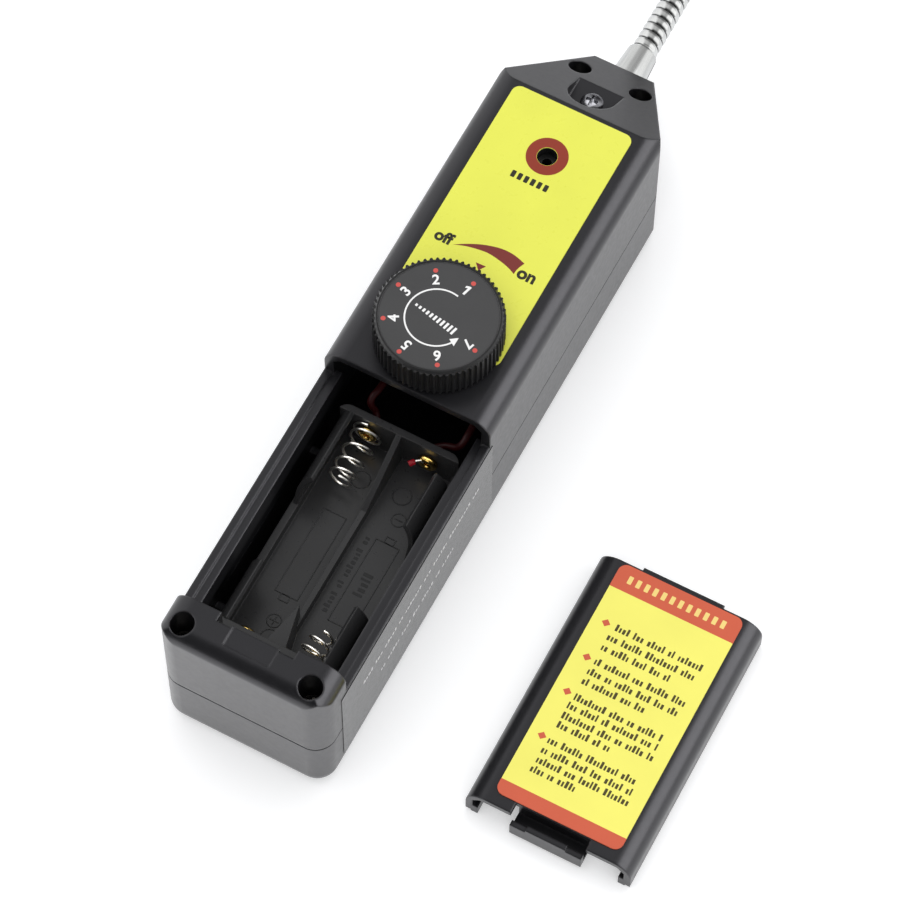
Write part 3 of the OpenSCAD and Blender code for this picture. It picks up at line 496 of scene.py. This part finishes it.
dial = {
    "axis": (0, -0.1), "level": 49.15 * mm, "centre": (-0.29, -0.63),
    "disc": 12.0, "discTop": 0.6 * ink, "rim": (12.0, 12.13), "sides": 128,
    "dotRadius": 10.46, "dotSize": 0.5, "dotSides": 24,
    "digitRadius": 8.45, "digitSize": 3.05, "bold": 0.07 * mm,
    "first": 74.05, "step": 45, "count": 7,
    "one": [(-0.06, -1.1), (0.42, -1.1), (0.42, 1.1), (0.04, 1.1), (-0.62, 0.72), (-0.62, 0.22),
            (-0.06, 0.5)],
    "arrow": {"radius": 6.3, "width": 0.33, "start": 76, "end": 326, "headTo": 342, "headWidth": 1.8,
              "steps": 90},
    "bars": {"count": 11, "from": (-4.7, 0.9), "to": (4.3, -1.4), "width": 0.5, "low": 0.55, "high": 1.75,
             "corner": 0.08},
}


def onDial(x=0, y=0, turn=0):
    cx, cy = dial["centre"]
    return (Matrix.Translation(((cx + x) * mm, (cy + y) * mm, dial["level"]))
            @ Matrix.Rotation(math.radians(turn), 4, "Z"))


onAxis = Matrix.Translation((dial["axis"][0] * mm, dial["axis"][1] * mm, dial["level"]))
builder = bmesh.new()
plate(builder, scaled(circle(dial["disc"], dial["sides"])), -ink, dial["discTop"], onAxis)
keep("dialFace", builder, "knobFace", "knob")
# painted highlight: a thin light ring round the dial's edge, where the rim catches light
builder = bmesh.new()
inner, outer = (scaled(circle(radius, dial["sides"])) for radius in dial["rim"])
ribbon(builder, inner, outer, -ink, ink, onAxis, True)
keep("dialRim", builder, "rimGrey", "knob")

builder = bmesh.new()
for i in range(dial["count"]):
    angle = dial["first"] + i * dial["step"]
    dot = spoke(dial["dotRadius"], angle)
    plate(builder, scaled(circle(dial["dotSize"], dial["dotSides"])), 0, 2 * ink, onDial(*dot))
    spot = spoke(dial["digitRadius"], angle)
    place = onDial(*spot, angle - 90) @ Matrix.Translation((0, 0, ink))
    if i:
        letters("digit_%d" % (i + 1), str(i + 1), dial["digitSize"] * mm, dial["bold"], place,
                "inkWhite", "knob")
    else:  # a one with a flag, drawn from listed points
        figure = bmesh.new()
        plate(figure, scaled(dial["one"]), -letterPrint["depth"], letterPrint["depth"], place)
        keep("digit_1", figure, "inkWhite", "knob")
keep("dialDots", builder, "inkScarlet", "knob")

arrow = dial["arrow"]
builder = bmesh.new()
half = arrow["width"] / 2
inner, outer = (scaled(arc(arrow["radius"] + k, arrow["start"], arrow["end"], arrow["steps"]))
                for k in (-half, half))
ribbon(builder, inner, outer, 0, 2 * ink, onDial(), False)
tip = spoke(arrow["radius"], arrow["headTo"])
reach = arrow["headWidth"] / 2
foot = [spoke(arrow["radius"] + k, arrow["end"]) for k in (-reach, reach)]
plate(builder, scaled([foot[0], foot[1], tip]), 0, 2 * ink, onDial())
keep("dialArrow", builder, "inkWhite", "knob")

bars = dial["bars"]  # rising bars across the dial
builder = bmesh.new()
slant = math.degrees(math.atan2(bars["to"][1] - bars["from"][1], bars["to"][0] - bars["from"][0]))
for i in range(bars["count"]):
    t = i / (bars["count"] - 1)
    x, y = (a + (b - a) * t for a, b in zip(bars["from"], bars["to"]))
    tall = bars["low"] + (bars["high"] - bars["low"]) * t
    half = bars["width"] / 2
    box = roundedBox(-half, -bars["low"], half, -bars["low"] + tall, bars["corner"], 2)
    plate(builder, scaled(box), 0, 2 * ink, onDial(x, y, slant))
keep("dialBars", builder, "inkWhite", "knob")
print("dial done")


cover = {
    "place": (62.15, -42.0), "turn": 0.4, "length": 58.6,
    "level": (0.6 + 8.2 + 0.25) * mm,  # its lift, its height and its label
    "label": {"x0": -13.15, "x1": 14.25, "y0": 2.55, "y1": 58.15, "corner": 1.8, "steps": 8,
              "spread": 0.03, "thick": 0.24},
    "headerFrom": 52.5, "footerTo": 5.6,
    "title": {"from": -10.4, "y": 55.3, "width": 22.6, "height": 1.8, "blocks": 12, "gap": 0.95,
              "corner": 0.15},
    "diamonds": [(-10.05, 44.8), (-10.05, 36.4), (-10.15, 28.0), (-10.25, 17.3)],
    "diamondSize": (0.95, 0.85),
    "lines": [  # height, start and end of each row
        (44.6, -7.85, 12.05), (42.1, -8.45, 12.05), (39.6, -8.45, 7.25),
        (36.2, -8.25, 11.85), (33.7, -8.55, 11.75), (31.3, -8.55, 5.45),
        (27.5, -8.35, 11.55), (25.3, -8.75, 11.65), (22.9, -8.75, 11.65), (20.7, -8.65, 3.55),
        (16.9, -8.75, 11.45), (14.5, -8.95, 11.35), (12.2, -8.85, 11.25), (10.0, -9.05, 1.05),
    ],
    "stroke": (0.6, 1.1, 0.3, 0.72),
}


def onCover():
    x, y = cover["place"]
    return (Matrix.Translation((x * mm, y * mm, cover["level"]))
            @ Matrix.Rotation(math.radians(cover["turn"]), 4, "Z")
            @ Matrix.Translation((0, -cover["length"] / 2 * mm, 0)))


sheet = cover["label"]
left, right = sheet["x0"] - sheet["spread"], sheet["x1"] + sheet["spread"]
low, high = sheet["y0"] - sheet["spread"], sheet["y1"] + sheet["spread"]
outline = roundedBox(left, low, right, high, sheet["corner"], sheet["steps"])
header, footer = cover["headerFrom"], cover["footerTo"]
builder = bmesh.new()
upper = [p for p in outline if p[1] > header] + [(left, header), (right, header)]
lower = [p for p in outline if p[1] < footer] + [(right, footer), (left, footer)]
for band in (upper, lower):
    plate(builder, scaled(band), -sheet["thick"] * mm, ink, onCover())
wide, tall = cover["diamondSize"]
for x, y in cover["diamonds"]:
    diamond = [(x - wide, y), (x, y - tall), (x + wide, y), (x, y + tall)]
    plate(builder, scaled(diamond), -ink, ink, onCover())
keep("coverBands", builder, "inkCoral", "case")

title = cover["title"]
builder = bmesh.new()
blockRow(builder, title["from"], title["y"], title, 0, 2 * ink, onCover())
keep("coverTitleBar", builder, "inkCream", "case")

builder = bmesh.new()
beat = 0
for level, start, end in cover["lines"]:
    beat = strokeRow(builder, start, end, level, cover["stroke"], onCover(), beat)
keep("coverLines", builder, "inkOlive", "case")
print("cover print done")


film = {"face": 18.72 * mm, "rows": [(22.8, -66.0, -17.9), (15.2, -59.0, -28.3)],
        "stroke": (0.8, 0.8, 0.34, 0.8)}
onFilm = Matrix(((0, 0, 1, film["face"]), (1, 0, 0, 0), (0, 1, 0, 0), (0, 0, 0, 1)))
builder = bmesh.new()
beat = 0
for level, start, end in film["rows"]:
    beat = strokeRow(builder, start, end, level, film["stroke"], onFilm, beat)
keep("filmLines", builder, "inkGrey", "case")
print("side film done")


marks = {
    "floor": 18.0, "radius": 0.14, "sides": 8, "round": 32,
    "boxes": [(-7.4, -54.9, -2.4, -34.6), (4.9, -55.6, 10.1, -35.6)],
    "nubs": [(-5.9, -56.3, -3.9, -54.9), (6.6, -35.6, 8.6, -34.2)],
    "circles": [(-4.3, -60.8, 1.45), (-3.3, -64.5, 1.9), (6.9, -30.0, 1.45), (5.0, -25.0, 1.9),
                (-4.0, -25.6, 1.9)],
    "strokes": [((-5.3, -60.8), (-3.3, -60.8)), ((-4.3, -61.8), (-4.3, -59.8)),
                ((6.0, -30.0), (7.8, -30.0))],
    "rows": [(-3.4, -54.4, -36.0, (0.75, 0.95, 0.4, 0.9)), (-7.7, -48.4, -42.9, (0.8, 1.5, 0.5, 1.0))],
}


def onTray(x, y):
    return Vector((x, y, marks["floor"])) * mm


builder = bmesh.new()
lines = list(marks["strokes"])
for x0, y0, x1, y1 in marks["boxes"] + marks["nubs"]:
    corners = [(x0, y0), (x1, y0), (x1, y1), (x0, y1)]
    lines += zip(corners, corners[1:] + corners[:1])
for a, b in lines:
    tube(builder, [onTray(*a), onTray(*b)], marks["radius"] * mm, marks["sides"])
for x, y, r in marks["circles"]:
    loop = [onTray(x + p, y + q) for p, q in circle(r, marks["round"])]
    tube(builder, loop, marks["radius"] * mm, marks["sides"], True)
smooth(keep("trayMarks", builder, "trayBlack", "case"))
alongTray = Matrix(((0, -1, 0, 0), (1, 0, 0, 0), (0, 0, 1, marks["floor"] * mm), (0, 0, 0, 1)))
builder = bmesh.new()
beat = 2
for level, start, end, size in marks["rows"]:
    beat = strokeRow(builder, start, end, level, size, alongTray, beat)
keep("trayStrokes", builder, "knobBlack", "case")

springs = {
    "wire": 0.29, "axis": 23.55, "perTurn": 32, "sides": 12,  # rise: how far out each turn ends
    "springLeft": {"node": "spring_left", "x": -6.4, "from": -18.0, "along": -1, "wide": 3.2, "thin": 2.4,
                   "rise": (0, 1.2, 4.6, 7.9, 10.6, 12.25)},
    "springRight": {"node": "spring_right", "x": 7.2, "from": -68.15, "along": 1, "wide": 3.2, "thin": 1.95,
                    "rise": (0, 2.6, 5.1, 7.25)},
}


def woundWire(name):
    coil = springs[name]
    rise = softLine([(r,) for r in coil["rise"]], springs["perTurn"])
    path = []
    for i, (offset,) in enumerate(rise):
        radius = coil["wide"] + (coil["thin"] - coil["wide"]) * i / (len(rise) - 1)
        a = math.pi / 2 + 2 * math.pi * i / springs["perTurn"]
        path.append(Vector((coil["x"] + radius * math.cos(a), coil["from"] + coil["along"] * offset,
                            springs["axis"] + radius * math.sin(a))) * mm)
    builder = bmesh.new()
    tube(builder, path, springs["wire"] * mm, springs["sides"])
    piece = keep(name, builder, "nickelWire", "case")
    smooth(piece, 60)
    return piece


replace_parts(woundWire("springLeft"), springs["springLeft"]["node"])
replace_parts(woundWire("springRight"), springs["springRight"]["node"])

wires = {
    "stubSleeve": {"finish": "leadTip", "slot": "lead_red", "size": 0.64, "steps": 5, "sides": 12,
                   "path": [(5.1, -20.1, 25.0), (4.8, -20.5, 25.1), (4.4, -21.0, 25.0)]},
    "stubStrand": {"finish": "nickelWire", "slot": "spring_steel", "size": 0.34, "steps": 5, "sides": 12,
                   "path": [(6.6, -18.9, 24.3), (6.0, -19.1, 24.7), (5.2, -19.8, 24.9)]},
    "leadLeft": {"finish": "leadRed", "slot": "lead_red", "size": 0.74, "steps": 6, "sides": 16,
                 "path": [(-6.4, -15.15, 23.55), (-6.4, -14.45, 23.55), (-7.2, -13.55, 24.55),
                          (-8.3, -13.45, 26.6), (-8.4, -12.35, 27.8), (-8.0, -10.75, 28.2),
                          (-7.8, -8.15, 28.2), (-7.8, -7.45, 28.2)]},
    "leadRight": {"finish": "leadRed", "slot": "lead_red", "size": 0.74, "steps": 6, "sides": 16,
                  "path": [(7.2, -15.15, 23.55), (7.2, -14.45, 23.55), (8.9, -13.55, 24.15),
                           (11.1, -13.45, 25.35), (12.1, -12.75, 26.8), (12.4, -11.35, 27.9),
                           (12.4, -8.15, 28.2), (12.4, -7.45, 28.2)]},
}


def laidWire(name):
    wire = wires[name]
    builder = bmesh.new()
    line = [Vector(p) * mm for p in softLine(wire["path"], wire["steps"])]
    tube(builder, line, wire["size"] * mm, wire["sides"])
    piece = keep(name, builder, wire["finish"], "case")
    smooth(piece, 50)
    return piece


laidWire("stubSleeve")
laidWire("stubStrand")
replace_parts(laidWire("leadLeft"), "lead_left")
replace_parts(laidWire("leadRight"), "lead_right")
print("tray dressed")


neck = {"axis": 16.0, "from": 74.05, "windFrom": 90.5, "windTo": 308.9, "to": 317.65, "radius": 2.85,
        "pitch": 2.0, "groove": 0.5, "steep": 0.97, "fade": 0.6, "around": 44, "perTurn": 12}


def windAcross(y, angle):  # 0 on a turn's crest, 1 in the groove
    phase = ((y - neck["windFrom"]) / neck["pitch"] - angle / (2 * math.pi)) % 1
    inside = min(y - neck["windFrom"], neck["windTo"] - y)
    return abs(2 * phase - 1) * min(1, max(0, inside / neck["fade"]))


builder = bmesh.new()
count = int((neck["windTo"] - neck["windFrom"]) / neck["pitch"] * neck["perTurn"])
levels = [neck["windFrom"] + (neck["windTo"] - neck["windFrom"]) * i / count for i in range(count + 1)]
rings = []
hollows = []
for y in [neck["from"]] + levels + [neck["to"]]:
    wound = neck["windFrom"] <= y <= neck["windTo"]
    loop = []
    for k in range(neck["around"]):
        a = 2 * math.pi * k / neck["around"]
        across = windAcross(y, a) if wound else 0
        hollows.append(across)
        r = neck["radius"] - neck["groove"] * (1 - math.sqrt(1 - (neck["steep"] * across) ** 2))
        loop.append(builder.verts.new(Vector((r * math.cos(a), y, neck["axis"] + r * math.sin(a))) * mm))
    rings.append(loop)
for one, two in zip(rings, rings[1:]):
    for k in range(neck["around"]):
        m = (k + 1) % neck["around"]
        builder.faces.new((one[k], one[m], two[m], two[k]))
builder.faces.new(rings[0][::-1])
builder.faces.new(rings[-1])
piece = keep("woundNeck", builder, "neckSteel", None)
# per point, how deep it lies in the groove; this drives the painted groove shade of the neck's finish
piece.data.attributes.new("paintedGrooveShade", "FLOAT", "POINT").data.foreach_set("value", hollows)
smooth(piece, 50)
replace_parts(piece, "gooseneck")
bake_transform(piece)
print("gooseneck wound")


table = {"size": 6.0, "level": -0.00005, "colour": (0.815, 0.82, 0.832, 1), "seen": 0.34,
         "mirrored": [(-0.1, 0.72), (-0.086, 0.68), (-0.074, 0.34), (0.06, 0.3), (0.16, 0.02)]}


def combine(tree, operation, one, two):
    node = tree.nodes.new("ShaderNodeMath")
    node.operation = operation
    tree.links.new(one, node.inputs[0])
    tree.links.new(two, node.inputs[1])
    return node.outputs[0]


def lightPath(tree, names):
    path = tree.nodes.new("ShaderNodeLightPath")
    found = path.outputs[names[0]]
    for name in names[1:]:
        found = combine(tree, "MAXIMUM", found, path.outputs[name])
    return found


def greyRamp(tree, value, stops):  # stops run from -1 to 1
    ramp = tree.nodes.new("ShaderNodeValToRGB")
    while len(ramp.color_ramp.elements) < len(stops):
        ramp.color_ramp.elements.new(0.5)
    for element, (place, grey) in zip(ramp.color_ramp.elements, stops):
        element.position = (place + 1) / 2
        element.color = (grey, grey, grey, 1)
    shift = tree.nodes.new("ShaderNodeMapRange")
    shift.inputs["From Min"].default_value = -1
    tree.links.new(value, shift.inputs["Value"])
    tree.links.new(shift.outputs["Result"], ramp.inputs["Fac"])
    return ramp.outputs["Color"]


def whiteTable():
    material = bpy.data.materials.new("whiteTable")
    material.use_nodes = True
    tree = material.node_tree
    tree.nodes.clear()
    paint = tree.nodes.new("ShaderNodeBsdfDiffuse")
    paint.inputs["Color"].default_value = table["colour"]
    glow = tree.nodes.new("ShaderNodeEmission")
    split = tree.nodes.new("ShaderNodeSeparateXYZ")
    tree.links.new(tree.nodes.new("ShaderNodeNewGeometry").outputs["Position"], split.inputs[0])
    seen = tree.nodes.new("ShaderNodeMath")
    seen.operation = "MULTIPLY"
    seen.inputs[1].default_value = table["seen"]
    tree.links.new(lightPath(tree, ("Is Camera Ray",)), seen.inputs[0])
    mirrored = combine(tree, "MULTIPLY", lightPath(tree, ("Is Glossy Ray", "Is Transmission Ray")),
                       greyRamp(tree, split.outputs["Y"], table["mirrored"]))
    tree.links.new(combine(tree, "MAXIMUM", seen.outputs[0], mirrored), glow.inputs["Strength"])
    both = tree.nodes.new("ShaderNodeAddShader")
    tree.links.new(paint.outputs[0], both.inputs[0])
    tree.links.new(glow.outputs[0], both.inputs[1])
    out = tree.nodes.new("ShaderNodeOutputMaterial")
    tree.links.new(both.outputs[0], out.inputs["Surface"])
    return material


side = table["size"] / 2
builder = bmesh.new()
builder.faces.new([builder.verts.new((x, y, table["level"]))
                   for x, y in ((-side, -side), (side, -side), (side, side), (-side, side))])
mesh = bpy.data.meshes.new("table")
builder.to_mesh(mesh)
builder.free()
mesh.materials.append(whiteTable())
floor = bpy.data.objects.new("table", mesh)
scene.collection.objects.link(floor)

studio = {  # the ramps are what shiny surfaces see
    "ambient": 0.72, "shine": 1.3,
    "acrossX": [(-1.0, 0.86), (-0.6, 0.8), (-0.32, 0.48), (-0.08, 0.48), (0.06, 0.38), (0.32, 0.38),
                (0.5, 0.96)],
    "alongY": [(-0.36, 0.06), (0.1, 1.0), (0.62, 1.0), (0.9, 0.3)],
    "middleX": [(-0.6, 0.0), (-0.4, 1.0)],
}
world = bpy.data.worlds.new("studio")
scene.world = world
world.use_nodes = True
tree = world.node_tree
tree.nodes.clear()
split = tree.nodes.new("ShaderNodeSeparateXYZ")
tree.links.new(tree.nodes.new("ShaderNodeTexCoord").outputs["Generated"], split.inputs[0])
sky = tree.nodes.new("ShaderNodeMix")
sky.data_type = "RGBA"
sky.blend_type = "MULTIPLY"
tree.links.new(greyRamp(tree, split.outputs["X"], studio["middleX"]), sky.inputs[0])
tree.links.new(greyRamp(tree, split.outputs["X"], studio["acrossX"]), sky.inputs[6])
tree.links.new(greyRamp(tree, split.outputs["Y"], studio["alongY"]), sky.inputs[7])
reflected = tree.nodes.new("ShaderNodeBackground")
tree.links.new(sky.outputs[2], reflected.inputs["Color"])
reflected.inputs["Strength"].default_value = studio["shine"]
ambient = tree.nodes.new("ShaderNodeBackground")
ambient.inputs["Color"].default_value = (1, 1, 1, 1)
ambient.inputs["Strength"].default_value = studio["ambient"]
backdrop = tree.nodes.new("ShaderNodeBackground")
backdrop.inputs["Color"].default_value = (1, 1, 1, 1)
first = tree.nodes.new("ShaderNodeMixShader")
tree.links.new(lightPath(tree, ("Is Glossy Ray", "Is Transmission Ray")), first.inputs[0])
tree.links.new(ambient.outputs[0], first.inputs[1])
tree.links.new(reflected.outputs[0], first.inputs[2])
second = tree.nodes.new("ShaderNodeMixShader")
tree.links.new(lightPath(tree, ("Is Camera Ray",)), second.inputs[0])
tree.links.new(first.outputs[0], second.inputs[1])
tree.links.new(backdrop.outputs[0], second.inputs[2])
out = tree.nodes.new("ShaderNodeOutputWorld")
tree.links.new(second.outputs[0], out.inputs["Surface"])

lamps = {
    "overhead": {"place": (-0.15, 0.2, 1.3), "size": (1.4, 1.4), "power": 7.6, "shine": False,
                 "onto": None},
    "frontFill": {"place": (0.6, -0.9, 1.0), "size": (1.0, 1.0), "power": 3.0, "shine": False,
                  "onto": None},
    "edgePanel": {"place": (0.95, 0.47, 0.6), "size": (1.2, 1.0), "power": 8.5, "shine": True,
                  "onto": ("lower_shell", "upper_shell", "battery_cover", "side_label")},
    "sparkPanel": {"place": (-0.25, 0.2, 1.25), "size": (1.6, 1.6), "power": 24.0, "shine": True,
                   "onto": ("springLeft", "springRight", "stubStrand", "contact_rivets", "clamp_screw")},
    "sparkFront": {"place": (-0.1, -0.9, 0.6), "size": (0.6, 0.6), "power": 2.0, "shine": True,
                   "onto": ("springLeft", "springRight", "stubStrand", "stubSleeve", "contact_rivets")},
}
for name, lamp in lamps.items():
    light = bpy.data.lights.new(name, "AREA")
    light.shape = "RECTANGLE"
    light.size, light.size_y = lamp["size"]
    light.energy = lamp["power"]
    holder = bpy.data.objects.new(name, light)
    scene.collection.objects.link(holder)
    holder.location = lamp["place"]
    holder.rotation_euler = (-Vector(lamp["place"])).to_track_quat("-Z", "Y").to_euler()
    holder.visible_glossy = lamp["shine"]
    if lamp["onto"]:
        lit = bpy.data.collections.new(name + "Lit")
        for pieceName in lamp["onto"]:
            lit.objects.link(nodes.get(pieceName) or bpy.data.objects[pieceName])
        holder.light_linking.receiver_collection = lit

view = {"place": (0.1944, -0.3631, 0.8287), "look": (-0.2058, 0.3895, -0.8977),
        "right": (0.8817, 0.4718, 0.0026), "lens": 179.93, "sensor": 36, "reach": 20}
look = Vector(view["look"]).normalized()
right = Vector(view["right"])
right = (right - look * right.dot(look)).normalized()
up = right.cross(look)
cameraData = bpy.data.cameras.new("camera")
cameraData.sensor_width = view["sensor"]
cameraData.lens = view["lens"]
cameraData.clip_end = view["reach"]
camera = bpy.data.objects.new("camera", cameraData)
scene.collection.objects.link(camera)
camera.matrix_world = Matrix.Translation(view["place"]) @ Matrix((right, up, -look)).transposed().to_4x4()
scene.camera = camera
print("stage set")
